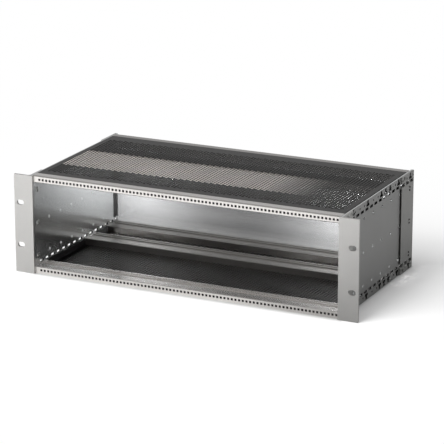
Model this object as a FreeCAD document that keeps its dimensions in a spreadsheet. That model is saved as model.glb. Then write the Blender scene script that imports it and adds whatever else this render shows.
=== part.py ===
"""Subrack card cage for a 19 inch rack, three units high.

Millimetres, +Z up, +X to the right seen from the front, +Y towards the rear.
The origin is the middle of the footprint, on the surface that the cage stands on.
Six extruded rails run between two punched side panels. Angle brackets carry the
slotted ears, strips stiffen the rear edges, and perforated covers and a solid
rear panel close the box.
"""
import FreeCAD, Part
import Sketcher
import math
import os
import re

DRIVING_SIZES = [
    ("ear_to_ear", 482.6, "overall width over the two ears"),
    ("ear_height", 132.0, "height of the ears and of the side panels"),
    ("ear_aperture", 428.5, "clear width between the ears"),
    ("ear_thickness", 3.0, "ear plate"),
    ("ear_slots_across", 465.1, "slot centre to slot centre across the rack"),
    ("ear_slots_up", 57.15, "slot centre to slot centre up one ear"),
    ("ear_slot_length", 10.3, "end to end"),
    ("ear_slot_width", 6.8, "clears an M6 screw"),
    ("leg_thickness", 2.0, "bracket leg along the side panel"),
    ("leg_depth", 30.0, "leg, from the back of the ear plate"),
    ("leg_fillet", 3.0, "inside the angle of the bracket"),
    ("cage_height", 133.2, "over the rails and covers"),
    ("cage_depth", 240.0, "front of the ears to the rear edge of the side panels"),
    ("rail_length", 430.8, "rails, and the clear width between the side panels"),
    ("panel_thickness", 2.0, "side panel sheet"),
    ("strip_thickness", 2.0, "rear strip sheet"),
    ("strip_depth", 42.0, "rear strip, front to back"),
    ("strip_gap", 1.4, "open gap behind the front edge of the rear strip"),
    ("strip_gap_depth", 6.0, "the same gap, front to back"),
    ("strip_margin", 1.6, "slots of a side panel to the ends of that gap"),
    ("seal_thickness", 1.0, "rubber strip in the rear corners"),
    ("seal_depth", 9.4, "rubber strip, front to back"),
    ("seal_margin", 16.2, "bottom and top of the cage to the ends of the rubber strip"),
    ("unit_height", 44.45, "one rack unit, which spaces the rows of holes up a side"),
    ("rail_depth", 30.5, "extrusion, front to back"),
    ("rail_height", 9.7, "extrusion, over its two outer ridges"),
    ("rail_wall", 1.6, "wall behind the face of a rail"),
    ("rail_web", 2.3, "wall under the hollows of a rail"),
    ("rail_bevel", 1.6, "chamfer along the outer front edge of a rail"),
    ("rail_edge", 0.8, "chamfer along its inner front edge"),
    ("cover_lap", 11.7, "face of a rail to the edge of the cover"),
    ("cover_thickness", 0.8, "cover sheet, which lies flush in the rails"),
    ("cover_clearance", 0.3, "gap round the edge of a cover"),
    ("cover_flange", 9.3, "height of a cover's folded sides"),
    ("front_ridge", 5.2, "width of the ridge behind a rail's face"),
    ("groove_width", 1.8, "narrow groove behind the front ridge"),
    ("second_ridge", 3.0, "width of the ridge behind the groove"),
    ("ridge_drop", 0.4, "second ridge and rear rib below the outer ridges"),
    ("groove_drop", 0.8, "narrow groove below the outer ridges"),
    ("floor_drop", 1.6, "broad channel below the outer ridges"),
    ("rear_ridge", 3.0, "width of the rear ridge"),
    ("rear_step", 3.0, "step in front of the rear ridge"),
    ("rear_rib", 2.0, "width of the rib in front of that step"),
    ("hollow_start", 6.2, "face of a rail to its front hollow"),
    ("hollow_wall", 1.4, "wall between a screw channel and the hollows beside it"),
    ("hollow_height", 3.4, "both hollows"),
    ("first_boss", 13.9, "face of a rail to its front screw channel"),
    ("second_boss", 27.4, "face of a rail to its rear screw channel"),
    ("boss_rise", 4.4, "outer face of a rail to both screw channels"),
    ("boss_diameter", 3.0, "screw channel, which runs the whole rail"),
    ("strip_channel_depth", 3.0, "channel for the threaded strip, front to back"),
    ("strip_channel_height", 6.0, "channel for the threaded strip"),
    ("strip_clearance", 0.15, "round the threaded strip in its channel"),
    ("row_rise", 5.35, "outer face of a rail to its row of holes"),
    ("row_pitch", 5.08, "hole to hole along a rail"),
    ("row_first", 10.1, "left end of a rail to its first hole"),
    ("row_hole", 2.9, "width of a square hole in a rail's face"),
    ("mid_rail_setback", 140.0, "front of the ears to the middle rails"),
    ("rear_panel_thickness", 2.0, "rear panel sheet"),
    ("rear_panel_inset", 3.5, "rear edge of the side panels to the rear panel"),
    ("rear_panel_clearance", 0.4, "gap between the rear panel and each side panel"),
    ("rear_panel_margin", 1.4, "top of the cage to the rear panel"),
    ("rear_screw_spacing", 136.0, "screw to screw along the rear panel"),
    ("wall_hole", 4.0, "round hole in a side panel"),
    ("wall_hole_pitch", 30.0, "hole to hole along a side panel"),
    ("wall_hole_first", 41.4, "front edge of a side panel to its first hole"),
    ("wall_slot_length", 9.5, "slot along a side panel"),
    ("wall_slot_height", 3.6, "slot along a side panel"),
    ("wall_slot_first", 19.8, "front edge of a side panel to its first slot"),
    ("wall_slot_rise", 11.7, "edge of a side panel to its row of slots"),
    ("wall_slot_room", 0.5, "openings round the slots, wider on every side"),
    ("wall_pitch", 15.0, "slot to slot and edge hole to edge hole"),
    ("edge_hole", 3.0, "round hole near an edge of a side panel"),
    ("edge_first", 27.2, "front edge of a side panel to the start of its edge holes"),
    ("strip_hole_first", 3.2, "front edge of the rear strip to its first edge hole"),
    ("strip_hole_second", 17.4, "front edge of the rear strip to its second edge hole"),
    ("strip_hole_third", 38.6, "front edge of the rear strip to its third edge hole"),
    ("edge_rise", 5.6, "edge of a side panel to its row of edge holes"),
    ("tee_width", 9.5, "broad end of a T-shaped opening"),
    ("tee_neck", 4.5, "neck of a T-shaped opening"),
    ("tee_bar", 3.2, "height of the broad end"),
    ("tee_margin", 1.0, "edge of a side panel to the neck"),
    ("tee_reach", 8.6, "edge of a side panel to the far end of the opening"),
    ("tee_spacing", 14.75, "opening to opening at the middle rails"),
    ("tee_behind_face", 6.25, "face of a middle rail to the second of those openings"),
    ("tee_before_face", 7.0, "face of a rear rail to the opening over its end"),
    ("tee_first", 35.0, "front edge of a side panel to its first opening"),
    ("tee_second", 83.0, "front edge of a side panel to its second opening"),
    ("tee_sixth", 188.0, "front edge of a side panel to its sixth opening"),
    ("bracket_screw_setback", 14.5, "front of the ears to the bracket screws"),
    ("bracket_screw", 4.0, "bracket screw shank"),
    ("bracket_head", 7.0, "bracket screw head"),
    ("bracket_head_height", 1.1, "low head, which stays behind the ear's inner edge"),
    ("rail_screw", 2.9, "rail screw shank, cut into the screw channel"),
    ("rail_screw_length", 8.0, "rail screw shank past the side panel"),
    ("rail_screw_head", 4.2, "rail screw head"),
    ("rail_screw_head_height", 1.2, "rail screw head"),
    ("head_room", 0.4, "round a screw head that sits in a hole of the rear strip"),
    ("rear_screw", 2.4, "rear panel screw shank"),
    ("rear_screw_length", 6.0, "rear panel screw under its head"),
    ("rear_screw_head", 5.0, "rear panel screw head"),
    ("rear_screw_head_height", 1.6, "rear panel screw head"),
    ("screw_clearance", 0.15, "between a shank and the hole round it, on the radius"),
    ("rivet_setback", 13.8, "rear edge of a side panel to the rivets of its strip"),
    ("rivet_spacing", 4.2, "rivet to rivet in a pair"),
    ("rivet_shank", 1.8, "rivet shank"),
    ("rivet_head", 3.0, "rivet head"),
    ("rivet_head_height", 0.6, "rivet head"),
    ("vent_border", 12.0, "edge of a cover to the first holes"),
    ("vent_pitch", 60.0, "hole to hole along a row of a cover"),
    ("vent_hole", 50.0, "corner to corner of a hole in a cover"),
]
WALL_HOLE_SIDES = 8
EDGE_HOLE_SIDES = 6
HEAD_SIDES = 6
SCREW_SIDES = 6
ROW_HOLES = 83
WALL_HOLES = 6
WALL_SLOTS = 15
EDGE_PLACES = (1, 2, 3, 5, 6, 10)
STRIP_SLOTS = 3
REAR_SCREWS = 4

doc = FreeCAD.newDocument("Subrack")
sheet = doc.addObject("Spreadsheet::Sheet", "Sizes")
for line, (name, number, meaning) in enumerate(DRIVING_SIZES, start=1):
    sheet.set(f"A{line}", name)
    sheet.set(f"B{line}", str(number))
    sheet.set(f"C{line}", meaning)
    sheet.setAlias(f"B{line}", name)
doc.recompute()


def size(name):
    """The number in one cell of the sheet."""
    return float(sheet.get(name))


def tied(text):
    """An expression that reads every name with an underscore from the sheet."""
    return re.sub(r"[a-z]+(_[a-z]+)+", r"Sizes.\g<0>", text)


def new_body(label, x="0", y="0", z="0", turn=(0, 0, 1, 0)):
    """An empty body whose place is tied to the sheet; turn is an axis and degrees."""
    body = doc.addObject("PartDesign::Body", label)
    body.Label = label
    axis = FreeCAD.Vector(*turn[:3])
    body.Placement = FreeCAD.Placement(FreeCAD.Vector(), FreeCAD.Rotation(axis, turn[3]))
    for name, text in zip("xyz", (x, y, z)):
        body.setExpression(f"Placement.Base.{name}", tied(text))
    return body


def new_sketch(body, plane, name):
    """A sketch on one of the body's own origin planes."""
    sketch = body.newObject("Sketcher::SketchObject", name)
    planes = [f for f in body.Origin.OriginFeatures if f.Role == plane]
    sketch.AttachmentSupport = [(planes[0], "")]
    sketch.MapMode = "FlatFace"
    return sketch


def hold_point(sketch, curve, point, across, up):
    """Tie one point of a curve to two sizes measured from the sketch's origin."""
    for kind, text, axis in (("DistanceX", across, -2), ("DistanceY", up, -1)):
        if text == "0":
            sketch.addConstraint(Sketcher.Constraint("PointOnObject", curve, point, axis))
            continue
        place = sketch.addConstraint(Sketcher.Constraint(kind, -1, 1, curve, point, 1.0))
        sketch.setExpression(f"Constraints[{place}]", tied(text))


def measured(text):
    """The number that an expression of sheet names comes to."""
    probe = doc.addObject("App::FeaturePython", "Probe")
    probe.addProperty("App::PropertyFloat", "Value")
    probe.setExpression("Value", tied(text))
    doc.recompute([probe])
    value = probe.Value
    doc.removeObject(probe.Name)
    return value


def draw_polygon(sketch, corners):
    """A closed outline whose corners are pairs of expressions."""
    places = [FreeCAD.Vector(measured(a), measured(b), 0) for a, b in corners]
    first = sketch.GeometryCount
    count = len(corners)
    for i, place in enumerate(places):
        sketch.addGeometry(Part.LineSegment(place, places[(i + 1) % count]), False)
    for i in range(count):
        following = first + (i + 1) % count
        sketch.addConstraint(Sketcher.Constraint("Coincident", first + i, 2, following, 1))
    for i, (across, up) in enumerate(corners):
        hold_point(sketch, first + i, 1, across, up)


def draw_rectangle(sketch, left, low, right, high):
    draw_polygon(sketch, [(left, low), (right, low), (right, high), (left, high)])


def draw_round(sketch, across, up, diameter, sides):
    """A small round hole as a regular polygon, which keeps the mesh light."""
    corners = []
    for side in range(sides):
        turn = 360 * side / sides
        corners.append((f"{across} + ({diameter})/2*cos({turn}deg)",
                        f"{up} + ({diameter})/2*sin({turn}deg)"))
    draw_polygon(sketch, corners)


def draw_slot(sketch, across, up, length, width):
    """A slot with round ends, centred on a place and lying along the first axis."""
    x, y = measured(across), measured(up)
    radius = measured(width) / 2
    half = measured(length) / 2 - radius
    normal = FreeCAD.Vector(0, 0, 1)
    vector = FreeCAD.Vector
    right = Part.ArcOfCircle(Part.Circle(vector(x + half, y, 0), normal, radius),
                             -math.pi / 2, math.pi / 2)
    left = Part.ArcOfCircle(Part.Circle(vector(x - half, y, 0), normal, radius),
                            math.pi / 2, 3 * math.pi / 2)
    top = Part.LineSegment(vector(x + half, y + radius, 0), vector(x - half, y + radius, 0))
    base = Part.LineSegment(vector(x - half, y - radius, 0), vector(x + half, y - radius, 0))
    first = sketch.GeometryCount
    for curve in (right, top, left, base):
        sketch.addGeometry(curve, False)
    for i in range(4):
        following = first + (i + 1) % 4
        sketch.addConstraint(Sketcher.Constraint("Tangent", first + i, 2, following, 1))
    for arc, sign in ((first, "+"), (first + 2, "-")):
        end = f"{across} {sign} ({length} - {width})/2"
        hold_point(sketch, arc, 3, end, up)
    sketch.addConstraint(Sketcher.Constraint("Equal", first, first + 2))
    place = sketch.addConstraint(Sketcher.Constraint("Radius", first, radius))
    sketch.setExpression(f"Constraints[{place}]", tied(f"{width}/2"))


def pad(body, sketch, length):
    """The sketch's outline, carried along its normal."""
    feature = body.newObject("PartDesign::Pad", f"{sketch.Name}_pad")
    feature.Profile = sketch
    feature.setExpression("Length", tied(length))
    doc.recompute()
    return feature


def cut_through(body, sketch):
    """A pocket both ways from the sketch, which has to take material away."""
    before = body.Shape.Volume
    feature = body.newObject("PartDesign::Pocket", f"{sketch.Name}_pocket")
    feature.Profile = sketch
    feature.Type = "ThroughAll"
    feature.SideType = "Symmetric"
    doc.recompute()
    if body.Shape.Volume >= before:
        raise RuntimeError(f"{sketch.Name} cuts nothing")
    return feature


def cut_deep(body, sketch, depth, forwards=False):
    """A pocket as deep as an expression says, behind the sketch or in front of it."""
    before = body.Shape.Volume
    feature = body.newObject("PartDesign::Pocket", f"{sketch.Name}_pocket")
    feature.Profile = sketch
    feature.Reversed = forwards
    feature.setExpression("Length", tied(depth))
    doc.recompute()
    if body.Shape.Volume >= before:
        raise RuntimeError(f"{sketch.Name} cuts nothing")
    return feature


def cut_rounds(body, name, places, diameter, sides):
    """Holes at pairs of expressions, four to a sketch, as a small sketch solves fast."""
    for start in range(0, len(places), 4):
        holes = new_sketch(body, "YZ_Plane", f"{name}_{start // 4 + 1}")
        for across, up in places[start:start + 4]:
            draw_round(holes, across, up, diameter, sides)
        cut_through(body, holes)


def repeat(body, feature, sketch, count, pitch):
    """Copies of a cut along the first axis of its sketch."""
    pattern = body.newObject("PartDesign::LinearPattern", f"{sketch.Name}_row")
    pattern.Originals = [feature]
    pattern.Direction = (sketch, ["H_Axis"])
    pattern.Mode = "Spacing"
    pattern.Occurrences = count
    pattern.setExpression("Offset", tied(pitch))
    body.Tip = pattern
    doc.recompute()
    return pattern


FRONT = "(-cage_depth/2)"
PANEL_FRONT = f"{FRONT} + ear_thickness"
PANEL_DEPTH = "(cage_depth - ear_thickness)"
PANEL_LOW = "(cage_height - ear_height)/2"
MID_RAIL_FACE = f"{FRONT} + mid_rail_setback"
REAR_RAIL_FACE = "cage_depth/2 - rear_panel_inset - rear_panel_thickness"
MID_TEE = "mid_rail_setback - ear_thickness + tee_behind_face"
ROW_HEIGHTS = tuple(f"ear_height/2 + {units}*unit_height" for units in (-1, 0, 1))
STRIP_HOLES = ("strip_hole_first", "strip_hole_second", "strip_hole_third")
TEE_PLACES = ("tee_first", "tee_second", f"{MID_TEE} - tee_spacing", MID_TEE,
              f"{MID_TEE} + tee_spacing", "tee_sixth",
              f"{PANEL_DEPTH} - rear_panel_inset - rear_panel_thickness - tee_before_face")
STRIP_FRONT = f"({PANEL_DEPTH} - strip_depth)"
RAIL_FIXINGS = ((PANEL_FRONT, "+", ("first_boss", "second_boss")),
                (MID_RAIL_FACE, "+", ("second_boss",)),
                (REAR_RAIL_FACE, "-", ("second_boss",)))


def front_bracket(label):
    """Angle with a slotted ear for the right side, drawn as seen from above."""
    body = new_body(label, "0", FRONT, PANEL_LOW)
    outline = new_sketch(body, "XY_Plane", f"{label}_section")
    inner, outer = "ear_aperture/2", "ear_to_ear/2"
    leg_in = "rail_length/2 + panel_thickness"
    leg_out = f"{leg_in} + leg_thickness"
    back = "ear_thickness + leg_depth"
    draw_polygon(outline, [(inner, "0"), (outer, "0"), (outer, "ear_thickness"),
                           (leg_out, "ear_thickness"), (leg_out, back), (leg_in, back),
                           (leg_in, "ear_thickness"), (inner, "ear_thickness")])
    plate = pad(body, outline, "ear_height")
    angle = [size("rail_length") / 2 + size("panel_thickness") + size("leg_thickness"),
             size("ear_thickness")]
    corner = [f"Edge{n}" for n, edge in enumerate(plate.Shape.Edges, start=1)
              if all(abs(v.X - angle[0]) < 1e-6 and abs(v.Y - angle[1]) < 1e-6
                     for v in edge.Vertexes)]
    fillet = body.newObject("PartDesign::Fillet", f"{label}_fillet")
    fillet.Base = (plate, corner)
    fillet.setExpression("Radius", tied("leg_fillet"))
    doc.recompute()
    slots = new_sketch(body, "XZ_Plane", f"{label}_slots")
    for sign in "+-":
        draw_slot(slots, "ear_slots_across/2", f"ear_height/2 {sign} ear_slots_up/2",
                  "ear_slot_length", "ear_slot_width")
    cut_through(body, slots)
    cut_rounds(body, f"{label}_screw_holes",
               [("bracket_screw_setback", height) for height in ROW_HEIGHTS],
               "bracket_screw + 2*screw_clearance", SCREW_SIDES)
    cut_rounds(body, f"{label}_rail_screw_holes",
               [(f"{across} - {FRONT}", f"{up} - {PANEL_LOW}")
                for across, up in rail_fixing_places(RAIL_FIXINGS[:1])],
               "rail_screw + 2*screw_clearance", SCREW_SIDES)
    openings = new_sketch(body, "YZ_Plane", f"{label}_openings")
    draw_wall_slots(openings, "ear_thickness + wall_slot_first", "2*wall_slot_room")
    cut_through(body, openings)
    return body


def draw_wall_slots(sketch, middle, room):
    """One slot of both rows, with some room on every side."""
    half = f"(wall_slot_length/2 + {room})"
    rise = f"(wall_slot_height/2 + {room})"
    for height in ("wall_slot_rise", "(ear_height - wall_slot_rise)"):
        draw_rectangle(sketch, f"{middle} - {half}", f"{height} - {rise}",
                       f"{middle} + {half}", f"{height} + {rise}")


def cut_tees(body, name, middle):
    """The T-shaped opening near the bottom edge and the one near the top edge."""
    tees = new_sketch(body, "YZ_Plane", name)
    for base, sign in (("0", "+"), ("ear_height", "-")):
        levels = [f"{base} {sign} tee_margin", f"{base} {sign} (tee_reach - tee_bar)",
                  f"{base} {sign} tee_reach"]
        halves = []
        for turn in "+-":
            halves.append([(f"{middle} {turn} tee_neck/2", levels[0]),
                           (f"{middle} {turn} tee_neck/2", levels[1]),
                           (f"{middle} {turn} tee_width/2", levels[1]),
                           (f"{middle} {turn} tee_width/2", levels[2])])
        draw_polygon(tees, halves[0] + halves[1][::-1])
    cut_through(body, tees)


def edge_hole_places(acrosses):
    """Each place along a side panel, near its bottom edge and near its top edge."""
    return [(across, up) for across in acrosses
            for up in ("edge_rise", "(ear_height - edge_rise)")]


def rivet_places(edge):
    """The rivets of a rear strip, in pairs, from a rear edge."""
    return [(f"{edge} - rivet_setback", f"{height} {sign} rivet_spacing/2")
            for height in ROW_HEIGHTS for sign in "+-"]


def side_panel(label):
    """Punched sheet. Its sketches have the front bottom corner as their origin."""
    body = new_body(label, "rail_length/2", PANEL_FRONT, PANEL_LOW)
    outline = new_sketch(body, "YZ_Plane", f"{label}_sheet")
    draw_rectangle(outline, "0", "0", PANEL_DEPTH, "ear_height")
    pad(body, outline, "panel_thickness")
    for number, middle in enumerate(TEE_PLACES, start=1):
        cut_tees(body, f"{label}_tees_{number}", middle)
    acrosses = [f"edge_first + {place}*wall_pitch" for place in EDGE_PLACES]
    acrosses += [f"{STRIP_FRONT} + {place}" for place in STRIP_HOLES]
    cut_rounds(body, f"{label}_edge_holes", edge_hole_places(acrosses), "edge_hole",
               EDGE_HOLE_SIDES)
    cut_rounds(body, f"{label}_bracket_holes",
               [("bracket_screw_setback - ear_thickness", height) for height in ROW_HEIGHTS],
               "bracket_screw + 2*screw_clearance", SCREW_SIDES)
    cut_rounds(body, f"{label}_rivet_holes", rivet_places(PANEL_DEPTH),
               "rivet_shank + 2*screw_clearance", SCREW_SIDES)
    cut_rounds(body, f"{label}_rail_holes",
               [(f"{across} - ({PANEL_FRONT})", f"{up} - {PANEL_LOW}")
                for across, up in rail_fixing_places(RAIL_FIXINGS)],
               "rail_screw + 2*screw_clearance", SCREW_SIDES)

    rows = new_sketch(body, "YZ_Plane", f"{label}_round_holes")
    for height in ROW_HEIGHTS:
        draw_round(rows, "wall_hole_first", height, "wall_hole", WALL_HOLE_SIDES)
    repeat(body, cut_through(body, rows), rows, WALL_HOLES, "wall_hole_pitch")
    slots = new_sketch(body, "YZ_Plane", f"{label}_slots")
    draw_wall_slots(slots, "wall_slot_first", "0")
    repeat(body, cut_through(body, slots), slots, WALL_SLOTS, "wall_pitch")
    return body


def rear_strip(label):
    """Strip riveted to the outside of the right side panel along its rear edge.

    It has the same openings as the sheet under it, and a gap along its front edge.
    """
    body = new_body(label, "rail_length/2 + panel_thickness", "cage_depth/2 - strip_depth",
                    PANEL_LOW)
    outline = new_sketch(body, "YZ_Plane", f"{label}_sheet")
    draw_rectangle(outline, "0", "0", "strip_depth", "ear_height")
    pad(body, outline, "strip_thickness")
    foot = "(wall_slot_rise + wall_slot_height/2 + strip_margin)"
    gap = new_sketch(body, "YZ_Plane", f"{label}_gap")
    draw_rectangle(gap, "0 - strip_margin", foot, "strip_gap_depth", f"ear_height - {foot}")
    cut_deep(body, gap, "strip_gap", forwards=True)
    cut_tees(body, f"{label}_tees", f"{TEE_PLACES[-1]} - {STRIP_FRONT}")
    cut_rounds(body, f"{label}_edge_holes", edge_hole_places(STRIP_HOLES), "edge_hole",
               EDGE_HOLE_SIDES)
    cut_rounds(body, f"{label}_rivet_holes", rivet_places("strip_depth"),
               "rivet_shank + 2*screw_clearance", SCREW_SIDES)
    cut_rounds(body, f"{label}_screw_room",
               [(f"{across} - (cage_depth/2 - strip_depth)", f"{up} - {PANEL_LOW}")
                for across, up in rail_fixing_places(RAIL_FIXINGS[2:])],
               "rail_screw_head + 2*head_room", HEAD_SIDES)
    slots = new_sketch(body, "YZ_Plane", f"{label}_slots")
    first = f"wall_slot_first + {WALL_SLOTS - STRIP_SLOTS}*wall_pitch - {STRIP_FRONT}"
    draw_wall_slots(slots, first, "wall_slot_room")
    repeat(body, cut_through(body, slots), slots, STRIP_SLOTS, "wall_pitch")
    return body


def corner_seal(label):
    """Rubber strip on the inside of the right side panel, in front of the rear panel."""
    body = new_body(label, "rail_length/2 - seal_thickness", f"{REAR_RAIL_FACE} - seal_depth",
                    "seal_margin")
    outline = new_sketch(body, "YZ_Plane", f"{label}_outline")
    draw_rectangle(outline, "0", "0", "seal_depth", "cage_height - 2*seal_margin")
    pad(body, outline, "seal_thickness")
    return body


def rail_fixing_places(fixings):
    """Depth and height of each rail screw, in the frame of the whole cage."""
    places = []
    for face, sign, bosses in fixings:
        for boss in bosses:
            for height in ("boss_rise", "cage_height - boss_rise"):
                places.append((f"{face} {sign} {boss}", height))
    return places


def rail(label, face, row=False):
    """Grooved extrusion at the bottom. face is the depth of its face in the cage.

    A rear rail is turned round, so that its face looks backwards.
    """
    rear = label.startswith("rear")
    start, turn = ("rail_length/2", (0, 0, 1, 180)) if rear else ("-rail_length/2", (0, 0, 1, 0))
    body = new_body(label, start, face, "0", turn)
    section = new_sketch(body, "YZ_Plane", f"{label}_section")
    ridge_end = "front_ridge + groove_width + second_ridge"
    rear_face = "rail_depth - rear_ridge"
    rib_back = f"{rear_face} - rear_step"
    if label.startswith("mid"):
        outer = [("0", "cover_thickness")]
    else:
        outer = [("0", "rail_bevel"), ("rail_bevel", "0"), ("cover_lap", "0"),
                 ("cover_lap", "cover_thickness")]
    draw_polygon(section, outer + [
        ("rail_depth", "cover_thickness"), ("rail_depth", "rail_height"),
        (rear_face, "rail_height"), (rear_face, "rail_height - groove_drop"),
        (rib_back, "rail_height - groove_drop"), (rib_back, "rail_height - ridge_drop"),
        (f"{rib_back} - rear_rib", "rail_height - ridge_drop"),
        (f"{rib_back} - rear_rib", "rail_height - floor_drop"),
        (ridge_end, "rail_height - floor_drop"), (ridge_end, "rail_height - ridge_drop"),
        ("front_ridge + groove_width", "rail_height - ridge_drop"),
        ("front_ridge + groove_width", "rail_height - groove_drop"),
        ("front_ridge", "rail_height - groove_drop"), ("front_ridge", "rail_height"),
        ("rail_edge", "rail_height"), ("0", "rail_height - rail_edge")])
    draw_rectangle(section, "rail_wall", "row_rise - strip_channel_height/2",
                   "rail_wall + strip_channel_depth", "row_rise + strip_channel_height/2")
    half_wall = "(boss_diameter/2 + hollow_wall)"
    hollows = (("hollow_start", f"first_boss - {half_wall}"),
               (f"first_boss + {half_wall}", f"second_boss - {half_wall}"))
    for near, far in hollows:
        draw_rectangle(section, near, "rail_web", far, "rail_web + hollow_height")
    for boss in ("first_boss", "second_boss"):
        draw_round(section, boss, "boss_rise", "boss_diameter", SCREW_SIDES)
    pad(body, section, "rail_length")
    if row:
        holes = new_sketch(body, "XZ_Plane", f"{label}_row")
        draw_rectangle(holes, "row_first - row_hole/2", "row_rise - row_hole/2",
                       "row_first + row_hole/2", "row_rise + row_hole/2")
        first = cut_deep(body, holes, "rail_wall + strip_channel_depth/2")
        repeat(body, first, holes, ROW_HOLES, "row_pitch")
    if rear:
        holes = new_sketch(body, "XZ_Plane", f"{label}_screw_holes")
        draw_round(holes, rear_screw_first(), "row_rise", "rear_screw + 2*screw_clearance",
                   SCREW_SIDES)
        first = cut_deep(body, holes, "rail_wall + strip_channel_depth/2")
        repeat(body, first, holes, REAR_SCREWS, "rear_screw_spacing")
    return body


def rear_screw_first():
    """End of a rear rail to its first rear panel screw."""
    return f"rail_length/2 - {(REAR_SCREWS - 1) / 2}*rear_screw_spacing"


def threaded_strip(label, face, rear):
    """Plain bar in a bottom rail's channel, which the front panel screws reach."""
    depth = "strip_channel_depth - 2*strip_clearance"
    near = "rail_wall + strip_clearance"
    low = f"{face} - ({near} + {depth})" if rear else f"{face} + {near}"
    height = "(strip_channel_height - 2*strip_clearance)"
    body = new_body(label, "-rail_length/2 + strip_clearance", low, f"row_rise - {height}/2")
    outline = new_sketch(body, "YZ_Plane", f"{label}_section")
    draw_rectangle(outline, "0", "0", depth, height)
    pad(body, outline, "rail_length - 2*strip_clearance")
    if rear:
        holes = new_sketch(body, "XZ_Plane", f"{label}_holes")
        draw_round(holes, f"{rear_screw_first()} - strip_clearance", f"{height}/2",
                   "rear_screw + 2*screw_clearance", SCREW_SIDES)
        first = cut_through(body, holes)
        repeat(body, first, holes, REAR_SCREWS, "rear_screw_spacing")
    return body


def cover(label):
    """Perforated sheet in the laps of the bottom rails, with its sides folded inwards."""
    front = f"{PANEL_FRONT} + cover_lap + cover_clearance"
    back = f"{REAR_RAIL_FACE} - cover_lap - cover_clearance"
    width = "(rail_length - 2*cover_clearance)"
    depth = f"({back} - ({front}))"
    body = new_body(label, "-rail_length/2 + cover_clearance", front, "0")
    outline = new_sketch(body, "XY_Plane", f"{label}_sheet")
    draw_rectangle(outline, "0", "0", width, depth)
    pad(body, outline, "cover_thickness")
    flanges = new_sketch(body, "XY_Plane", f"{label}_flanges")
    for near, far in ((f"{PANEL_FRONT} + rail_depth", MID_RAIL_FACE),
                      (f"{MID_RAIL_FACE} + rail_depth", f"{REAR_RAIL_FACE} - rail_depth")):
        span = (f"{near} + cover_clearance - ({front})", f"{far} - cover_clearance - ({front})")
        for left, right in (("0", "cover_thickness"), (f"{width} - cover_thickness", width)):
            draw_rectangle(flanges, left, span[0], right, span[1])
    pad(body, flanges, "cover_flange")
    columns = int((measured(width) - 2 * size("vent_border") - size("vent_hole"))
                  / size("vent_pitch") - 0.5) + 1
    rows = int((measured(depth) - 2 * size("vent_border") - size("vent_hole"))
               / (size("vent_pitch") * math.sqrt(3) / 2)) + 1
    holes = new_sketch(body, "XY_Plane", f"{label}_holes")
    for row in range(rows):
        across = f"{width}/2 - {(columns - 0.5) / 2 - row % 2 / 2}*vent_pitch"
        up = f"{depth}/2 + {row - (rows - 1) / 2}*vent_pitch*sqrt(3)/2"
        corners = []
        for turn in range(30, 390, 60):
            corners.append((f"{across} + vent_hole/2*cos({turn}deg)",
                            f"{up} + vent_hole/2*sin({turn}deg)"))
        draw_polygon(holes, corners)
    repeat(body, cut_through(body, holes), holes, columns, "vent_pitch")
    return body


def rear_panel(label):
    """Solid sheet on the faces of the rear rails, between the side panels."""
    body = new_body(label, "-rail_length/2 + rear_panel_clearance", REAR_RAIL_FACE,
                    "rear_panel_margin")
    outline = new_sketch(body, "XY_Plane", f"{label}_sheet")
    draw_rectangle(outline, "0", "0", "rail_length - 2*rear_panel_clearance",
                   "rear_panel_thickness")
    pad(body, outline, "cage_height - 2*rear_panel_margin")
    holes = new_sketch(body, "XZ_Plane", f"{label}_holes")
    for height in ("row_rise", "cage_height - row_rise"):
        draw_round(holes, f"{rear_screw_first()} - rear_panel_clearance",
                   f"{height} - rear_panel_margin", "rear_screw + 2*screw_clearance", SCREW_SIDES)
    repeat(body, cut_through(body, holes), holes, REAR_SCREWS, "rear_screw_spacing")
    return body


def prism(diameter, sides, low, high):
    """An upright prism, from corner to corner as wide as its diameter."""
    corners = []
    for side in range(sides + 1):
        turn = 2 * math.pi * (side % sides) / sides
        corners.append(FreeCAD.Vector(diameter / 2 * math.cos(turn),
                                      diameter / 2 * math.sin(turn), low))
    face = Part.Face(Part.makePolygon(corners))
    return face.extrude(FreeCAD.Vector(0, 0, high - low))


def fastener(shank, length, head, head_height):
    """Head and shank as one solid: the head sits on z = 0, the shank goes down."""
    top = prism(head, HEAD_SIDES, 0, head_height)
    return top.fuse(prism(shank, SCREW_SIDES, -length, 0)).removeSplitter().Solids[0]


def fastener_group(label, solid, places, axis, corner):
    """Separate copies of one fastener, whose heads look along the axis.

    One corner of each shank points along corner, as in the holes round it.
    """
    turn = FreeCAD.Rotation(FreeCAD.Vector(*corner), FreeCAD.Vector(),
                            FreeCAD.Vector(*axis), "ZXY")
    copies = []
    for place in places:
        copy = solid.copy()
        copy.Placement = FreeCAD.Placement(FreeCAD.Vector(*place), turn)
        copies.append(copy)
    group = doc.addObject("Part::Feature", label)
    group.Label = label
    group.Shape = Part.makeCompound(copies)
    return group


def opposite(piece, word, other):
    """The same piece across the middle of the cage, from side to side or upside down."""
    label = piece.Label.replace(word, other)
    copy = doc.addObject("Part::Mirroring", label)
    copy.Label = label
    copy.Source = piece
    copy.Normal = FreeCAD.Vector(1, 0, 0) if word == "right" else FreeCAD.Vector(0, 0, 1)
    copy.setExpression("Base.z", tied("cage_height/2"))
    doc.recompute()
    return copy


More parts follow.
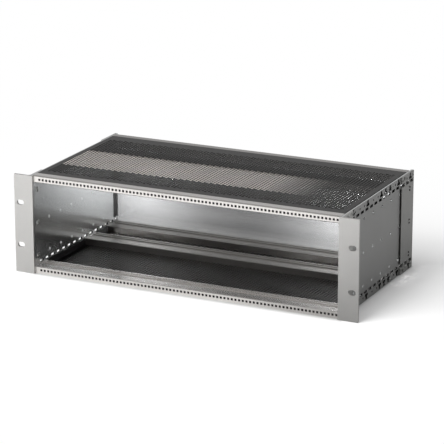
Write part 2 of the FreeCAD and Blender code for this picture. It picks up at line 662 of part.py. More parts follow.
def side_fasteners():
    """The screws and rivets of the right side panel, as four groups."""
    half = size("rail_length") / 2
    panel = size("panel_thickness")
    leg = size("leg_thickness")
    middle = size("cage_height") / 2
    rows = [middle + units * size("unit_height") for units in (-1, 0, 1)]
    front = measured(FRONT)
    bracket = fastener(size("bracket_screw"), panel + leg,
                       size("bracket_head"), size("bracket_head_height"))
    depth = front + size("bracket_screw_setback")
    groups = [fastener_group("bracket_screws_right", bracket,
                             [(half, depth, height) for height in rows],
                             (-1, 0, 0), (0, 1, 0))]
    for label, fixings, sheets in (("front_rail_screws", RAIL_FIXINGS[:1], panel + leg),
                                   ("rail_screws", RAIL_FIXINGS[1:], panel)):
        screw = fastener(size("rail_screw"), sheets + size("rail_screw_length"),
                         size("rail_screw_head"), size("rail_screw_head_height"))
        places = [(half + sheets, measured(depth), measured(height))
                  for depth, height in rail_fixing_places(fixings)]
        groups.append(fastener_group(f"{label}_right", screw, places, (1, 0, 0), (0, 1, 0)))
    rivet = fastener(size("rivet_shank"), panel + size("strip_thickness"),
                     size("rivet_head"), size("rivet_head_height"))
    outer = half + panel + size("strip_thickness")
    depth = measured("cage_depth/2 - rivet_setback")
    places = [(outer, depth, height + sign * size("rivet_spacing") / 2)
              for height in rows for sign in (-1, 1)]
    groups.append(fastener_group("strip_rivets_right", rivet, places, (1, 0, 0), (0, 1, 0)))
    return groups


def rear_panel_screws(label):
    """Screws through the rear panel into the threaded strips of the rear rails."""
    screw = fastener(size("rear_screw"), size("rear_screw_length"),
                     size("rear_screw_head"), size("rear_screw_head_height"))
    depth = measured(f"{REAR_RAIL_FACE} + rear_panel_thickness")
    places = []
    for column in range(REAR_SCREWS):
        across = (column - (REAR_SCREWS - 1) / 2) * size("rear_screw_spacing")
        for height in (size("row_rise"), size("cage_height") - size("row_rise")):
            places.append((across, depth, height))
    return fastener_group(label, screw, places, (0, 1, 0), (1, 0, 0))


right = [front_bracket("front_bracket_right"), side_panel("side_panel_right"),
         rear_strip("rear_strip_right"), corner_seal("corner_seal_right")]
right += side_fasteners()
bottom = [rail("front_rail_bottom", PANEL_FRONT, row=True),
          rail("mid_rail_bottom", MID_RAIL_FACE), rail("rear_rail_bottom", REAR_RAIL_FACE),
          threaded_strip("threaded_strip_front_bottom", PANEL_FRONT, False),
          threaded_strip("threaded_strip_rear_bottom", REAR_RAIL_FACE, True),
          cover("bottom_cover")]
pieces = right + bottom + [rear_panel("rear_panel"), rear_panel_screws("rear_panel_screws")]
pieces += [opposite(piece, "right", "left") for piece in right]
pieces += [opposite(piece, "bottom", "top") for piece in bottom]

doc.recompute()
for item in doc.Objects:
    if "Invalid" in item.State or "Error" in item.State:
        raise RuntimeError(f"{item.Label} failed: {item.State}")
for piece in pieces:
    if piece.Shape.isNull() or not piece.Shape.isValid():
        raise RuntimeError(f"{piece.Label} has no valid shape")

os.makedirs("parts", exist_ok=True)
for piece in pieces:
    piece.Shape.exportStep(f"parts/{piece.Label}.step")
    print(f"{piece.Label}: {len(piece.Shape.Solids)} solid, {piece.Shape.Volume:.0f} cubic mm")
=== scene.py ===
"""Looks of a subrack card cage: finishes, perforated covers, fixings, light and camera."""
# %% [markdown]
# # A subrack card cage
# The cage is punched sheet and extruded rails, screwed together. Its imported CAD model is
# the frame of everything here. Most nodes keep their CAD shape and only get a finish. The
# perforated covers and the small fixings, which are coarse in CAD, are made fine. All
# lengths are in metres, +X is to the right seen from the front, +Y runs to the rear and
# +Z is up.

import math
from types import SimpleNamespace

import bpy
import numpy as np
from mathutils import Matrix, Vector


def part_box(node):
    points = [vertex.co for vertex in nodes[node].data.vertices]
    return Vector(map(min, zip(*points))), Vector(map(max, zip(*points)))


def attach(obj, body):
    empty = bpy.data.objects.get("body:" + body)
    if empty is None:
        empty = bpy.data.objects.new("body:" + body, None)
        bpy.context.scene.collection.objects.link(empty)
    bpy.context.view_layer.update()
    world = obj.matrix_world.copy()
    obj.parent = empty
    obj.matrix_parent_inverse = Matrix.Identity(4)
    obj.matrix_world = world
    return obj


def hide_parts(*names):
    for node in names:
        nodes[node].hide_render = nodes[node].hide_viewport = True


MM = 0.001
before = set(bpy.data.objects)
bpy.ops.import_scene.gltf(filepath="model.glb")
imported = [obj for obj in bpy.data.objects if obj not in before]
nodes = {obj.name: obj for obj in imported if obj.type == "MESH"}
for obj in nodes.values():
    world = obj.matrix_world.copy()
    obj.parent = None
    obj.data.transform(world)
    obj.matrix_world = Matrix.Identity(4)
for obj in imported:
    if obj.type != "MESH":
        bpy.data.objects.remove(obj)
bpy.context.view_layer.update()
print("nodes:", len(nodes))

# %% [markdown]
# ## Colours and nodes
# A colour is written as the hex code that one reads off a screen, but shaders add light
# up in linear values, so one function turns the first into the second. Another one adds
# a node with its settings and links, so that a material reads as a short list.

# %% The linear value of a colour


def linear(code):
    """The linear colour, with alpha 1, of an sRGB hex code."""
    parts = [int(code[i:i + 2], 16) / 255 for i in (1, 3, 5)]
    return tuple(c / 12.92 if c <= 0.04045 else ((c + 0.055) / 1.055) ** 2.4
                 for c in parts) + (1.0,)


print("#808080 is", round(linear("#808080")[0], 3), "in linear light")

# %% Nodes and new materials


def add(tree, kind, links=(), **values):
    """A node of a tree, with its inputs set to values or linked to other sockets."""
    node = tree.nodes.new(kind)
    for name, value in values.items():
        setattr(node, name, value)
    for key, value in dict(links).items():
        if isinstance(value, bpy.types.NodeSocket):
            tree.links.new(value, node.inputs[key])
        else:
            node.inputs[key].default_value = value
    return node


def blank(name):
    """A new material, its empty node tree and its object coordinates."""
    material = bpy.data.materials.new(name)
    material.use_nodes = True
    tree = material.node_tree
    tree.nodes.clear()
    return material, tree, add(tree, "ShaderNodeTexCoord").outputs["Object"]


# %% [markdown]
# ## Bare metal
# Nearly every piece of the cage is bare aluminium or plated steel, and what the eye sees
# of it is the lines that a brush, a roll or a die left. A picture of metal could be
# wrapped around each piece, but it would need a map for each. Noise in object coordinates
# needs none: it is stretched along the lines, and its fineness is a real width. Real lines
# are a few hundredths of a millimetre wide, too fine to show, so they are drawn 0.2 to
# 0.4 mm wide. Broad clouds of noise make the tone slightly uneven.

# %% Lines, clouds and bump
LINE_LENGTH = 60
CLOUD = 45


def brushed(tree, place, grain, along):
    """Lines and clouds of noise, and the bump of the lines.

    grain is the width of a line in mm, and along is the axis that the lines follow. They
    are LINE_LENGTH times as long as wide. CLOUD is the size of a cloud in mm.
    """
    stretch = [1 / (grain * MM)] * 3
    stretch["XYZ".index(along)] /= LINE_LENGTH
    scaled = add(tree, "ShaderNodeMapping", {"Vector": place, "Scale": stretch}).outputs[0]
    lines = add(tree, "ShaderNodeTexNoise",
                {"Vector": scaled, "Scale": 1.0, "Detail": 3.0}).outputs[0]
    clouds = add(tree, "ShaderNodeTexNoise",
                 {"Vector": place, "Scale": 1 / (CLOUD * MM), "Detail": 2.0}).outputs[0]
    bump = add(tree, "ShaderNodeBump",
               {"Height": lines, "Strength": 0.06, "Distance": 0.02 * MM}).outputs[0]
    return lines, clouds, bump


print("a line is", LINE_LENGTH, "times as long as wide, and a cloud", CLOUD, "mm across")

# %% A surface and a metal


def surface(tree, code, roughness, wear, texture, metallic=1.0):
    """A principled shader that follows a texture of lines, clouds and bump.

    The roughness is 85 to 120 % of its value, by the lines. The colour is darker by up to
    the share wear, by the clouds.
    """
    lines, clouds, bump = texture
    spread = add(tree, "ShaderNodeMapRange", {"Value": lines, "To Min": roughness * 0.85,
                                              "To Max": roughness * 1.2}).outputs[0]
    tone = add(tree, "ShaderNodeMapRange", {"Value": clouds, "From Min": 0.3, "From Max": 0.7,
                                            "To Min": 1 - wear, "To Max": 1.0}).outputs[0]
    colour = add(tree, "ShaderNodeMix", {0: 1.0, 6: linear(code), 7: tone},
                 data_type="RGBA", blend_type="MULTIPLY").outputs[2]
    return add(tree, "ShaderNodeBsdfPrincipled",
               {"Base Color": colour, "Metallic": metallic, "Roughness": spread,
                "Normal": bump}).outputs[0]


def metal(name, code, roughness, grain, along, wear, metallic=1.0, change=None):
    """A bare metal. change is a function that mixes in other finishes by place."""
    material, tree, place = blank(name)
    texture = brushed(tree, place, grain, along)
    shader = surface(tree, code, roughness, wear, texture, metallic)
    if change:
        shader = change(tree, place, shader, texture)
    add(tree, "ShaderNodeOutputMaterial", {"Surface": shader})
    return material


# %% [markdown]
# ## Two finishes on one piece
# A side panel is one punched sheet, bright within and duller and darker on its outer face.
# The cut faces of its cut-outs near the rails get a nearly black colour, painted shade
# that stands in for the dark inside of the cage behind them. The two sides could be two
# materials on two sets of faces, but the place of a point already tells its side, so the
# material itself chooses.

# %% The faces of a side panel
INNER_FACE, OUTER_FACE = (corner[0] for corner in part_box("side_panel_right"))
MIDDLE = sum(corner[2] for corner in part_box("side_panel_right")) / 2
HAIR = 0.05 * MM
CUT_HEIGHT, CUT_REACH = 57 * MM, 8 * MM
PANEL_WEAR = 0.04
print("side panel from", round(INNER_FACE / MM, 2), "to", round(OUTER_FACE / MM, 2), "mm")


def two_faced(tree, place, bright, texture):
    """A bright finish with dull outer faces, and with cut faces near the rails painted black as
    shade.

    A point is outside where |x| > OUTER_FACE - HAIR. It is on a cut face painted black as
    shade where |x| > INNER_FACE + HAIR and |z - MIDDLE| is CUT_HEIGHT, give or take CUT_REACH.
    """
    dull = surface(tree, "#a9a9a8", 0.42, PANEL_WEAR, texture)
    # Painted shade: a nearly black colour for cut faces that stand in front of the dark inside of
    # the cage.
    black = surface(tree, "#0c0c0c", 0.6, PANEL_WEAR, texture, 0.0)
    x, _, z = add(tree, "ShaderNodeSeparateXYZ", {0: place}).outputs
    away = add(tree, "ShaderNodeMath", {0: x}, operation="ABSOLUTE").outputs[0]
    within = add(tree, "ShaderNodeMath", {0: away, 1: INNER_FACE + HAIR},
                 operation="GREATER_THAN").outputs[0]
    height = add(tree, "ShaderNodeMath", {0: z, 1: MIDDLE}, operation="SUBTRACT").outputs[0]
    height = add(tree, "ShaderNodeMath", {0: height}, operation="ABSOLUTE").outputs[0]
    near = add(tree, "ShaderNodeMath", {0: height, 1: CUT_HEIGHT, 2: CUT_REACH},
               operation="COMPARE").outputs[0]
    cut = add(tree, "ShaderNodeMath", {0: near, 1: within}, operation="MULTIPLY").outputs[0]
    outside = add(tree, "ShaderNodeMath", {0: away, 1: OUTER_FACE - HAIR},
                  operation="GREATER_THAN").outputs[0]
    shader = add(tree, "ShaderNodeMixShader", {0: cut, 1: bright, 2: black}).outputs[0]
    return add(tree, "ShaderNodeMixShader", {0: outside, 1: shader, 2: dull}).outputs[0]


# %% Painted light on the walls of the holes
# A dark grey painted in for the dim reflection of the perforated sheet: painted shade.
SHADED_SHEET_GREY = "#23201e"
EDGE_ROUGHNESS, EDGE_WEAR = 0.3, 0.05
FADE_FROM, FADE_TO = 80 * MM, 150 * MM


def painted_light_fading_right(tree, place, bright, texture):
    """Painted light: a pale finish that turns into the sheet's dark grey, painted shade, as x goes
    from FADE_FROM to FADE_TO.
    """
    dark = surface(tree, SHADED_SHEET_GREY, EDGE_ROUGHNESS, EDGE_WEAR, texture)
    x = add(tree, "ShaderNodeSeparateXYZ", {0: place}).outputs[0]
    share = add(tree, "ShaderNodeMapRange", {"Value": x, "From Min": FADE_FROM,
                                             "From Max": FADE_TO}).outputs[0]
    return add(tree, "ShaderNodeMixShader", {0: share, 1: bright, 2: dark}).outputs[0]


# The painted light on the hole walls fades into painted shade over this width.
print("the punched edge fades over", round((FADE_TO - FADE_FROM) / MM), "mm")

# %% [markdown]
# ## The finishes
# Each one starts from how its metal was worked, which sets the direction and width of its
# lines and how rough it is. A metal has hardly any colour of its own: what differs is how
# bright and how sharp its reflections are.

# %% Ears and rails
# Fine satin anodising gives an even, pale grey without a clear reflection.
EAR = metal("fine_satin_anodised", "#bdbcba", 0.35, 0.25, "Z", 0.03)
# Drawing through a die leaves lines along the rail, and anodising keeps them pale.
RAIL = metal("drawn_anodised", "#d4d1ce", 0.24, 0.3, "X", 0.03)
# The rails further back get a darker copy of the rail finish, painted shade for the dim inside of
# the cage, and are a little less sharp.
SHADED_BACK_RAIL = metal("drawn_rail_painted_shade", "#aaa7a4", 0.3, 0.3, "X", 0.04)
print(EAR.name, RAIL.name, SHADED_BACK_RAIL.name)

# %% Sheets
# Brushed and passivated sheet mirrors its surroundings softly.
SHEET = metal("brushed_passivated", "#e4e6e6", 0.18, 0.3, "Y", PANEL_WEAR, change=two_faced)
# Sheet as it comes from the mill is grey and clouded.
STRIP = metal("mill_sheet", "#a9a9a7", 0.4, 0.4, "Z", 0.06)
# Satin sheet shows a broad glow in place of a lamp, because a part of its light is matt.
PANEL = metal("satin_sheet", "#cdcecf", 0.2, 0.3, "Z", 0.04, metallic=0.9)
# Painted shade: the perforated sheet is bare aluminium that looks dark between its holes because it
# mirrors the dim room above it, and that darkness is painted into a dark grey.
COVER = metal("perforated_sheet_painted_shade", SHADED_SHEET_GREY, 0.35, 0.3, "Y", 0.05)
# Painted light: the walls of the top cover's holes in a band in front of the middle rail get a pale
# colour for the light that comes in by the open front, and it fades to the right into painted
# shade.
PAINTED_LIGHT_WALL = metal("painted_light_on_hole_walls", "#f1ebe6", EDGE_ROUGHNESS, 0.3, "Y", EDGE_WEAR,
                change=painted_light_fading_right)
print(SHEET.name, STRIP.name, PANEL.name, COVER.name, PAINTED_LIGHT_WALL.name)

# %% Fixings
# Zinc plating is bright, and slightly uneven in tone.
ZINC = metal("zinc_plated", "#b9bab8", 0.25, 0.2, "X", 0.05)
# Black oxide is nearly black, with a dull shine.
OXIDE = metal("black_oxide", "#2a2928", 0.5, 0.3, "X", 0.1)
print(ZINC.name, OXIDE.name)

# %% [markdown]
# ## Rubber
# The corner seals are soft black strips. A moulded rubber has no lines, only a fine, matt
# grain, so one noise of 0.8 mm drives its tone, its roughness and its bump.

# %% Black rubber
RUBBER_GRAIN = 0.8


def rubber(name, code):
    """A matt rubber with an even grain."""
    material, tree, place = blank(name)
    grain = add(tree, "ShaderNodeTexNoise",
                {"Vector": place, "Scale": 1 / (RUBBER_GRAIN * MM)}).outputs[0]
    bump = add(tree, "ShaderNodeBump",
               {"Height": grain, "Strength": 0.2, "Distance": 0.05 * MM}).outputs[0]
    shader = surface(tree, code, 0.6, 0.2, (grain, grain, bump), metallic=0.0)
    add(tree, "ShaderNodeOutputMaterial", {"Surface": shader})
    return material


SEAL = rubber("black_rubber", "#151515")
print("finishes:", len(bpy.data.materials))

# %% [markdown]
# ## The CAD nodes
# The brackets, panels, strips and rails are already true in CAD, with their slots, holes
# and grooves, so they keep that shape and only get a finish. The last word of this list
# that stands in a node's name decides.

# %% Give each node its finish
FINISHES = {"front_bracket": EAR, "side_panel": SHEET, "rear_strip": STRIP, "rail": RAIL,
            "mid_rail": SHADED_BACK_RAIL, "rear_rail": SHADED_BACK_RAIL, "cover": COVER,
            "rear_panel": PANEL, "screws": ZINC, "rivets": ZINC, "threaded": OXIDE,
            "seal": SEAL}
for name, node in nodes.items():
    finish = [m for key, m in FINISHES.items() if key in name][-1]
    node.data.materials.clear()
    node.data.materials.append(finish)
    print(name, finish.name)

# %% [markdown]
# ## Perforated covers
# A cover is a thin sheet with thousands of round holes, folded at both sides. A picture
# with transparent dots would look flat from low down, where one sees the walls of the
# holes, and cutting the holes out one by one would take minutes. So the sheet is worked
# out as points and faces. The holes stand in rows from front to back, one pitch apart.
# The rows are sqrt(3)/2 of a pitch apart, and every second one is shifted by half a
# pitch, so that each hole has six neighbours at the same distance.

# %% Where the holes are
PITCH, HOLE, HOLE_SIDES = 5 * MM, 3.6 * MM, 8
RISE = PITCH * math.sqrt(3) / 2
FRONT_EDGE, REAR_EDGE, SIDE_EDGE = 12 * MM, 15 * MM, 6 * MM
print("open area: {:.0%}".format(math.pi / 4 * HOLE ** 2 / (PITCH * RISE)))


def hole_pattern(low, high):
    """Start, size and holes of the pattern on the sheet between two corners.

    Row i, hole c has its centre at (x0 + (i + 1/2) RISE, y0 + (2c + 1 + i%2) PITCH/2).
    """
    columns = int((high[1] - low[1] - FRONT_EDGE - REAR_EDGE) / PITCH - 0.5)
    rows = int((high[0] - low[0] - 2 * SIDE_EDGE) / RISE)
    x0, y0 = (low[0] + high[0] - rows * RISE) / 2, low[1] + FRONT_EDGE
    i, c = np.meshgrid(np.arange(rows), np.arange(columns), indexing="ij")
    i, c = i.ravel(), c.ravel()
    return SimpleNamespace(x0=x0, y0=y0, rows=rows, lines=2 * columns + 2, i=i, c=c,
                           centre_x=x0 + (i + 0.5) * RISE,
                           centre_y=y0 + (2 * c + 1 + i % 2) * PITCH / 2)


print("holes in the top cover:", len(hole_pattern(*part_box("top_cover")).i))

# %% Points of one face of the sheet


def flat_points(low, high, pattern):
    """x and y of the grid between the holes, then of the holes, then of the four corners.

    Point (i, j) of the grid is (x0 + i RISE, y0 + j PITCH/2). Corner m of a hole lies on
    its circle at the angle pi/2 + 2 pi m / HOLE_SIDES from +Y.
    """
    grid_y, grid_x = np.meshgrid(pattern.y0 + np.arange(pattern.lines) * PITCH / 2,
                                 pattern.x0 + np.arange(pattern.rows + 1) * RISE)
    turn = np.pi / 2 + 2 * np.pi * np.arange(HOLE_SIDES) / HOLE_SIDES
    hole_x = pattern.centre_x[:, None] + HOLE / 2 * np.sin(turn)
    hole_y = pattern.centre_y[:, None] + HOLE / 2 * np.cos(turn)
    x = np.concatenate([grid_x.ravel(), hole_x.ravel(), [low[0], low[0], high[0], high[0]]])
    y = np.concatenate([grid_y.ravel(), hole_y.ravel(), [low[1], high[1], high[1], low[1]]])
    return x, y


# %% Faces around the holes


def flat_faces(pattern, ring, outer):
    """Faces of the sheet seen from below, as lists of points.

    Each hole has a cell of PITCH by RISE in the grid, cut along its middle into a front
    and a rear half, which both run around half of the hole. Each row ends in a blank half
    cell, and four frames join the grid to the outer corners.
    """
    lines, rows, half = pattern.lines, pattern.rows, HOLE_SIDES // 2
    at = pattern.i * lines + 2 * pattern.c + pattern.i % 2
    front = np.stack([at + lines + 1, at + lines, at, at + 1], axis=1)
    front = np.concatenate([front, ring[:, half::-1]], axis=1)
    rear = np.stack([at + 1, at + 2, at + lines + 2, at + lines + 1], axis=1)
    rear = np.concatenate([rear, ring[:, :1], ring[:, :half - 1:-1]], axis=1)
    row = np.arange(rows)
    at = row * lines + np.where(row % 2, 0, lines - 2)
    blanks = np.stack([at, at + 1, at + lines + 1, at + lines], axis=1)
    near, side = np.arange(lines), np.arange(rows + 1) * lines
    frames = [[outer[0], outer[1], *near[::-1]], [outer[1], outer[2], *(side + lines - 1)[::-1]],
              [outer[2], outer[3], *(rows * lines + near)], [outer[3], outer[0], *side]]
    return (front.tolist() + rear.tolist() + blanks.tolist()
            + [[int(v) for v in face] for face in frames])


# %% Walls of the holes and of the outline


def closing_walls(ring, outer, count):
    """Walls that join each lower point p to its upper one, p + count."""
    following = np.roll(ring, -1, axis=1)
    holes = np.stack([ring, following, following + count, ring + count], axis=2)
    onward = np.roll(outer, -1)
    edges = np.stack([outer, outer + count, onward + count, onward], axis=1)
    return holes.reshape(-1, 4).tolist(), edges.tolist()


# %% [markdown]
# ## The folded sides
# At both sides the sheet is folded towards the inside of the cage and lies along the side
# panels, from rail to rail. Sheet could be bent by a modifier, but these folds are plain
# strips, so each is a box. They stand in the shade behind the panels' cut-outs, where
# they look as black as the seals, so they get the same finish.

# %% Boxes between the rails
THICKNESS = 0.8 * MM
FOLD = 14.6 * MM
GAP = 0.3 * MM
BOX = ((0, 2, 3, 1), (4, 5, 7, 6), (0, 1, 5, 4), (2, 6, 7, 3), (0, 4, 6, 2), (1, 3, 7, 5))


def folded_sides(low, high, first, top):
    """Corners and faces of the four folds of a cover, numbered from first."""
    stops = [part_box("front_rail_bottom")[1][1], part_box("mid_rail_bottom")[0][1],
             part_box("mid_rail_bottom")[1][1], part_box("rear_rail_bottom")[0][1]]
    levels = (high[2] - FOLD, high[2] - THICKNESS) if top else (low[2] + THICKNESS, high[2])
    corners, faces = [], []
    for left in (low[0], high[0] - THICKNESS):
        for start, end in (stops[:2], stops[2:]):
            base = first + len(corners)
            corners += [[x, y, z] for z in levels for y in (start + GAP, end - GAP)
                        for x in (left, left + THICKNESS)]
            faces += [[base + v for v in face] for face in BOX]
    return corners, faces


print("folds reach", round(FOLD / MM, 1), "mm down from the top")

# %% [markdown]
# ## Painted light on the punched edges
# Light comes in by the open front and strikes the walls of the top cover's holes from
# below, but only in a band in front of the middle rail: the others are in the shade of
# one of the rails. Tracing that light through thousands of small holes is slow and noisy,
# so the walls in the band get a pale colour as painted light, and the others the sheet's
# dark grey as painted shade.

# %% Build a cover
LIT_FROM, LIT_TO = -53 * MM, 23 * MM


def perforated(name, node, top):
    """A sheet with the outline of a CAD node, round holes in rows and folded sides."""
    low, high = (np.array(corner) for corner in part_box(node))
    pattern = hole_pattern(low, high)
    x, y = flat_points(low, high, pattern)
    count = len(x)
    levels = (high[2] - THICKNESS, high[2]) if top else (low[2], low[2] + THICKNESS)
    points = np.concatenate([np.stack([x, y, np.full(count, z)], axis=1) for z in levels])
    holes = np.arange(len(pattern.i))[:, None]
    ring = (pattern.rows + 1) * pattern.lines + holes * HOLE_SIDES + np.arange(HOLE_SIDES)
    outer = count - 4 + np.arange(4)
    lower = flat_faces(pattern, ring, outer)
    upper = [[v + count for v in face[::-1]] for face in lower]
    walls, edges = closing_walls(ring, outer, count)
    folds, fold_faces = folded_sides(low, high, len(points), top)
    mesh = bpy.data.meshes.new(name)
    mesh.from_pydata(points.tolist() + folds, [], lower + upper + walls + edges + fold_faces)
    mesh.validate()
    for finish in (COVER, SEAL, PAINTED_LIGHT_WALL):
        mesh.materials.append(finish)
    # Walls of the holes in the lit band get the painted light, all other walls the cover's dark
    # grey as painted shade.
    lit = (pattern.centre_y > LIT_FROM) & (pattern.centre_y < LIT_TO) & top
    which = np.zeros(len(mesh.polygons), dtype=np.int32)
    which[len(lower) + len(upper):][:len(walls)] = np.repeat(np.where(lit, 2, 0), HOLE_SIDES)
    which[-len(fold_faces):] = 1
    mesh.polygons.foreach_set("material_index", which)
    sheet = bpy.data.objects.new(name, mesh)
    bpy.context.scene.collection.objects.link(sheet)
    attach(sheet, "root")
    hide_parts(node)
    mesh.calc_loop_triangles()
    print(name, len(holes), "holes,", len(mesh.loop_triangles), "triangles")


perforated("perforated_top", "top_cover", True)
perforated("perforated_bottom", "bottom_cover", False)

# %% [markdown]
# ## Screws and rivets
# The fixings are pan head screws and blind rivets, which are round about their own line.
# Blender's Screw and Spin tools could turn a profile, but a profile carried round a
# circle is one formula, and its copies then fill one mesh for each CAD node.

# %% Turn a profile
SEGMENTS = 24


def lathe(profile, axis):
    """Points and faces of a solid turned around an axis, such as "+X" or "-Y".

    Point k of the profile, (r, h) in mm, becomes the ring r (cos t, sin t) at the height
    h along the axis. A minus sign mirrors it and turns its faces round.
    """
    radius, height = np.array(profile).T * MM
    t = 2 * np.pi * np.arange(SEGMENTS) / SEGMENTS
    rings = np.stack([radius[:, None] * np.cos(t), radius[:, None] * np.sin(t),
                      np.repeat(height[:, None], SEGMENTS, axis=1)], axis=2).reshape(-1, 3)
    rings = rings[:, [2, 0, 1] if axis[1] == "X" else [1, 2, 0]]
    k, s = np.meshgrid(np.arange(len(profile) - 1), np.arange(SEGMENTS), indexing="ij")
    k, s = k.ravel() * SEGMENTS, s.ravel()
    n = (s + 1) % SEGMENTS
    quads = np.stack([k + s, k + n, k + SEGMENTS + n, k + SEGMENTS + s], axis=1)
    if axis[0] == "-":
        rings[:, "XYZ".index(axis[1])] *= -1
        quads = quads[:, ::-1]
    return rings, quads


# %% Copies in one mesh


def turned(name, node, profile, centres, axis, finish):
    """One piece with a turned solid at each centre, in place of a CAD node."""
    rings, quads = lathe(profile, axis)
    points = np.concatenate([rings + np.array(centre) for centre in centres])
    faces = np.concatenate([quads + len(rings) * j for j in range(len(centres))])
    mesh = bpy.data.meshes.new(name)
    mesh.from_pydata(points.tolist(), [], faces.tolist())
    mesh.shade_smooth()
    mesh.set_sharp_from_angle(angle=math.radians(35))
    mesh.materials.append(finish)
    piece = bpy.data.objects.new(name, mesh)
    bpy.context.scene.collection.objects.link(piece)
    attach(piece, "root")
    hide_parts(node)
    print(name, len(centres), "copies")


# %% Profiles of the heads


def pan_head(head, height, shank, length):
    """Radius and height, in mm, along a pan head screw, from its recess to its tip."""
    recess = head * 0.26
    return [(0.001, height * 0.35), (recess, height * 0.4), (recess, height),
            (head * 0.36, height * 0.98), (head * 0.46, height * 0.75), (head * 0.5, height * 0.35),
            (head * 0.5, 0), (shank / 2, 0), (shank / 2, -length), (0.001, -length)]


def blind_rivet(head, height, shank, length):
    """Radius and height, in mm, along a round rivet with a deep bore."""
    bore = head * 0.27
    return [(0.001, -length * 0.7), (bore, -length * 0.7), (bore, height),
            (head * 0.38, height * 0.8), (head * 0.5, height * 0.15), (head * 0.5, 0),
            (shank / 2, 0), (shank / 2, -length), (0.001, -length)]


print("points of a pan head:", len(pan_head(4.2, 1.2, 2.9, 10)))

# %% [markdown]
# ## Where the fixings are
# The CAD nodes of the fixings have plain heads with six sides, flat side up, so a head's
# centre lies half its width, times sqrt(3)/2 upwards, in from the box of its node. On
# each side, screws hold the rails and the bracket, and pairs of rivets hold the strip.

# %% Heads on the side panels
FLAT = math.sqrt(3) / 2
PLATE = 2 * MM
RACK_UNIT = 44.45 * MM
BRACKET_HEAD = 7
RIVET_PAIR = (1.3 * MM, 5.5 * MM)


def head_corners(node, head, face):
    """The centres of four six-sided heads in the corners of a node, on the face x."""
    low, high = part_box(node)
    deep, up = head / 2 * MM, head / 2 * FLAT * MM
    return [(face, y, z) for y in (low[1] + deep, high[1] - deep)
            for z in (low[2] + up, high[2] - up)]


for side, sign in (("left", -1), ("right", 1)):
    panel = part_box(f"side_panel_{side}")[0 if sign < 0 else 1][0]
    leg = panel + sign * PLATE
    inner = panel - sign * PLATE
    outwards, inwards = ("+X", "-X") if sign > 0 else ("-X", "+X")
    turned(f"rail_screw_heads_{side}", f"rail_screws_{side}", pan_head(4.2, 1.2, 2.9, 10),
           head_corners(f"rail_screws_{side}", 4.2, panel), outwards, ZINC)
    turned(f"front_rail_screw_heads_{side}", f"front_rail_screws_{side}",
           pan_head(4.2, 1.2, 2.9, 12),
           head_corners(f"front_rail_screws_{side}", 4.2, leg), outwards, ZINC)
    low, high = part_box(f"bracket_screws_{side}")
    up = BRACKET_HEAD / 2 * FLAT * MM
    turned(f"bracket_screw_heads_{side}", f"bracket_screws_{side}",
           pan_head(BRACKET_HEAD, 1.1, 4, 4),
           [(inner, (low[1] + high[1]) / 2, z)
            for z in (low[2] + up, (low[2] + high[2]) / 2, high[2] - up)], inwards, ZINC)
    low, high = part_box(f"strip_rivets_{side}")
    turned(f"strip_rivet_heads_{side}", f"strip_rivets_{side}", blind_rivet(3, 0.6, 1.8, 4),
           [(leg, (low[1] + high[1]) / 2, low[2] + pair + k * RACK_UNIT)
            for pair in RIVET_PAIR for k in range(3)], outwards, OXIDE)

# %% Heads on the rear panel
REAR_HEAD = 5
low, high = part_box("rear_panel_screws")
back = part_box("rear_panel")[1][1]
deep, up = REAR_HEAD / 2 * MM, REAR_HEAD / 2 * FLAT * MM
turned("rear_panel_screw_heads", "rear_panel_screws", pan_head(REAR_HEAD, 1.6, 2.4, 6),
       [(x, back, z) for x in np.linspace(low[0] + deep, high[0] - deep, 4)
        for z in (low[2] + up, high[2] - up)], "+Y", ZINC)

# %% [markdown]
# ## The floor
# The cage stands on a white sweep that fades into the white background. A plain matt
# plane under a lamp would turn grey far from it. So to the camera the floor is matt near
# the cage, where it keeps the shadow, and glows white further off: FADE is the distance
# over which that comes in. Under the cage the camera sees it nearly black, a painted shade,
# and in reflections it is plain and matt, with a painted shade that makes it a little
# darker to the right.

# %% The floor that the camera sees
FOOTPRINT = (0.217, 0.12, 0)
FADE = 0.11


def seen_floor(tree, place):
    """Matt near the footprint and nearly black under it as painted shade, white beyond: the share
    of white is 1 - exp(-d / FADE).
    """
    side = add(tree, "ShaderNodeVectorMath", {0: place}, operation="ABSOLUTE").outputs[0]
    past = add(tree, "ShaderNodeVectorMath", {0: side, 1: FOOTPRINT},
               operation="SUBTRACT").outputs[0]
    x, y, _ = add(tree, "ShaderNodeSeparateXYZ", {0: past}).outputs
    apart = add(tree, "ShaderNodeMath", {0: x, 1: y}, operation="MAXIMUM").outputs[0]
    power = add(tree, "ShaderNodeMath", {0: apart, 1: -1 / FADE}, operation="MULTIPLY").outputs[0]
    kept = add(tree, "ShaderNodeMath", {0: power}, operation="EXPONENT").outputs[0]
    share = add(tree, "ShaderNodeMath", {0: 1.0, 1: kept}, operation="SUBTRACT",
                use_clamp=True).outputs[0]
    # Painted shade: the matt floor turns nearly black under the cage's footprint.
    tone = add(tree, "ShaderNodeMapRange", {"Value": apart, "From Min": -10 * MM,
                                            "From Max": 5 * MM, "To Min": 0.12,
                                            "To Max": 0.95}).outputs[0]
    matt = add(tree, "ShaderNodeBsdfDiffuse", {"Color": tone}).outputs[0]
    white = add(tree, "ShaderNodeEmission", {"Strength": 1.0}).outputs[0]
    return add(tree, "ShaderNodeMixShader", {0: share, 1: matt, 2: white}).outputs[0]


# %% The whole floor


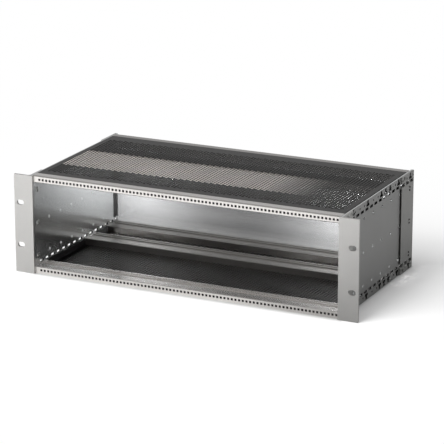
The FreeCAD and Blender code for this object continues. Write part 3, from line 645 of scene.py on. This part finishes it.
def mirrored_floor(tree, place):
    """The floor in reflections: matt, and darker from 50 to 200 mm right of the middle, a painted
    shade for the cage's shadow there.
    """
    x = add(tree, "ShaderNodeSeparateXYZ", {0: place}).outputs[0]
    # Painted shade: the floor in reflections darkens to the right, where the cage's shadow falls.
    tone = add(tree, "ShaderNodeMapRange", {"Value": x, "From Min": 50 * MM,
                                            "From Max": 200 * MM, "To Min": 0.85,
                                            "To Max": 0.5}).outputs[0]
    return add(tree, "ShaderNodeBsdfDiffuse", {"Color": tone}).outputs[0]


def floor():
    """A pale floor under the cage."""
    bpy.ops.mesh.primitive_plane_add(size=40)
    plane = bpy.context.object
    plane.name = "floor"
    material, tree, place = blank("pale_floor")
    camera_ray = add(tree, "ShaderNodeLightPath").outputs["Is Camera Ray"]
    mix = add(tree, "ShaderNodeMixShader", {0: camera_ray, 1: mirrored_floor(tree, place),
                                            2: seen_floor(tree, place)})
    add(tree, "ShaderNodeOutputMaterial", {"Surface": mix.outputs[0]})
    plane.data.materials.append(material)
    print("floor nodes:", len(tree.nodes))


floor()

# %% [markdown]
# ## The sky
# Bare metal shows only what it mirrors, so the room around it matters more than any lamp.
# Large white cards could stand around the cage, but they would also show in its panels.
# So the room is the world itself, with one brightness in front of the cage, one above
# and beside it and one behind it. The camera sees it as plain white.

# %% White to the camera, a studio to everything else
FRONT, ABOVE, REAR = 0.6, 0.44, 0.59


def sky():
    """The world. Its brightness changes with the y of a direction, from 0.3 either way."""
    world = bpy.data.worlds.new("studio")
    bpy.context.scene.world = world
    world.use_nodes = True
    tree = world.node_tree
    tree.nodes.clear()
    way = add(tree, "ShaderNodeTexCoord").outputs["Generated"]
    y = add(tree, "ShaderNodeSeparateXYZ", {0: way}).outputs[1]
    front = add(tree, "ShaderNodeMapRange", {"Value": y, "From Min": -0.3, "From Max": -0.9,
                                             "To Min": ABOVE, "To Max": FRONT}).outputs[0]
    rear = add(tree, "ShaderNodeMapRange", {"Value": y, "From Min": 0.3, "From Max": 0.87,
                                            "To Min": 0.0, "To Max": REAR - ABOVE}).outputs[0]
    brightness = add(tree, "ShaderNodeMath", {0: front, 1: rear}).outputs[0]
    studio = add(tree, "ShaderNodeBackground", {0: (1, 1, 1, 1), 1: brightness}).outputs[0]
    white = add(tree, "ShaderNodeBackground", {0: (1, 1, 1, 1), 1: 1.0}).outputs[0]
    camera_ray = add(tree, "ShaderNodeLightPath").outputs["Is Camera Ray"]
    mix = add(tree, "ShaderNodeMixShader", {0: camera_ray, 1: studio, 2: white})
    add(tree, "ShaderNodeOutputWorld", {0: mix.outputs[0]})
    print("sky: front", FRONT, "above", ABOVE, "rear", REAR)


sky()

# %% [markdown]
# ## Lamps
# A key light from the front and left throws the soft shadow. Two small lamps inside make
# the two glows on the rear panel. Only matt surfaces see them, because their square
# shapes would show in the bare metal.

# %% Area lights
AIM = (0, 0, 0.06)


def softbox(name, place, aim, size, power):
    """A rectangular area light that matt surfaces see."""
    lamp = bpy.data.lights.new(name, "AREA")
    lamp.shape = "RECTANGLE"
    lamp.size, lamp.size_y = size
    lamp.energy = power
    item = bpy.data.objects.new(name, lamp)
    item.location = place
    item.rotation_mode = "QUATERNION"
    item.rotation_quaternion = (Vector(place) - Vector(aim)).to_track_quat("Z", "Y")
    item.visible_glossy, item.visible_camera = False, False
    bpy.context.scene.collection.objects.link(item)
    print(name, power, "W")


softbox("key", (-1.0, -2.6, 1.6), AIM, (2.6, 2.0), 175)
softbox("glow_left", (-0.175, 0.03, 0.08), (-0.175, 1, 0.08), (0.05, 0.03), 1.2)
softbox("glow_right", (0.14, 0.03, 0.075), (0.14, 1, 0.075), (0.08, 0.03), 1.2)

# %% [markdown]
# ## Camera
# The place, angle and lens were found by fitting a camera to the ears and their slots,
# whose spacing is a standard. From 3 m away the lens is a long one, so that the far end
# of the cage is hardly smaller than the near one.

# %% Camera
AZIMUTH, ELEVATION = math.radians(25.41), math.radians(16.83)
EYE = (1.2795, -2.69375, 0.9679)
backwards = Vector((math.sin(AZIMUTH) * math.cos(ELEVATION),
                    -math.cos(AZIMUTH) * math.cos(ELEVATION), math.sin(ELEVATION)))
camera = bpy.data.objects.new("camera", bpy.data.cameras.new("camera"))
camera.location = EYE
camera.rotation_mode = "QUATERNION"
camera.rotation_quaternion = backwards.to_track_quat("Z", "Y")
camera.data.sensor_width = 36
camera.data.lens = 193.8
camera.data.clip_end = 100
scene = bpy.context.scene
scene.collection.objects.link(camera)
scene.camera = camera
scene.view_settings.view_transform = "Standard"
print("camera", round(Vector(EYE).length, 2), "m from the origin")
